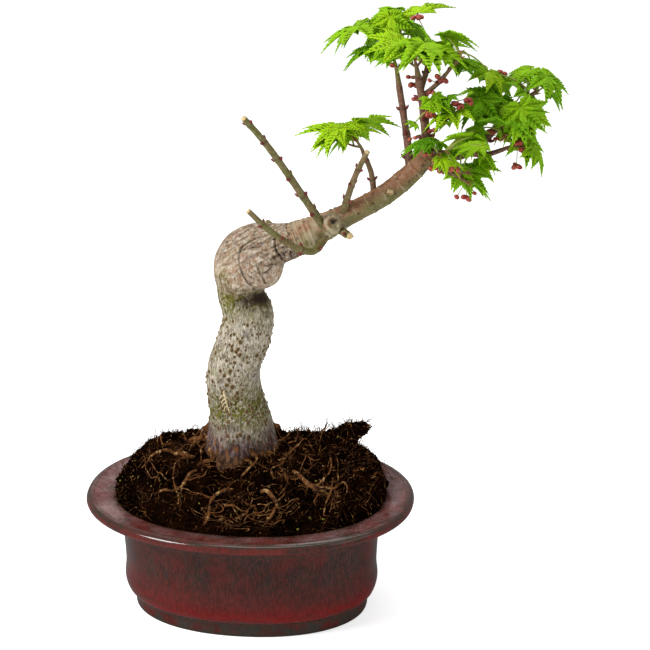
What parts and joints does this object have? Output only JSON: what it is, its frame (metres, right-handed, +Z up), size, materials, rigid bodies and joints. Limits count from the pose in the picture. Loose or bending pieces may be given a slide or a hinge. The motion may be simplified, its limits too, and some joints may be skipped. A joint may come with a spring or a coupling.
{
  "type": "potted bonsai tree",
  "caption": "Small maple trained as a bonsai: a curved bare trunk and a long bough with leafy twigs, in an oval glazed pot with a flat rim.",
  "frame": {"origin": "middle of the pot's flat underside, on the surface that the pot stands on", "axes": "+Z up, +X along the pot's long side towards the leafy end of the tree, +Y towards the tree's back"},
  "size_m": [0.257, 0.1406, 0.3338],
  "materials": {
    "glaze": "glossy dark red glaze, breaking to olive black at the edges",
    "potting_soil": "moist fibrous peat and roots, very dark brown",
    "old_bark": "smooth grey bark with raised brown pores and green moss",
    "young_bark": "smooth olive to red-brown young bark",
    "leaf": "thin matt leaf, bright green"
  },
  "bodies": {
    "root": {"pot": "glaze", "root_ball": "potting_soil", "trunk": "old_bark", "main_bough": "young_bark", "bough_left_upright": "young_bark", "bough_centre_upright": "young_bark", "bough_right": "young_bark", "bough_top_back": "young_bark", "bough_top_side": "young_bark", "bough_inner": "young_bark", "bough_right_front": "young_bark", "bough_right_back": "young_bark", "bough_right_low": "young_bark", "bough_low": "young_bark", "bough_front": "young_bark", "twig_tuft": "young_bark", "pruned_twig_long": "young_bark", "pruned_twig_curved": "young_bark", "pruned_twig_short": "young_bark", "pruned_stub_back": "young_bark", "pruned_stub_front": "young_bark", "foliage_tuft": "leaf", "foliage_top_left": "leaf", "foliage_top_middle": "leaf", "foliage_top_back": "leaf", "foliage_top_side": "leaf", "foliage_inner": "leaf", "foliage_outer": "leaf", "foliage_right": "leaf", "foliage_right_back": "leaf", "foliage_front": "leaf", "foliage_low": "leaf", "foliage_right_low": "leaf"}
  },
  "joints": []
}
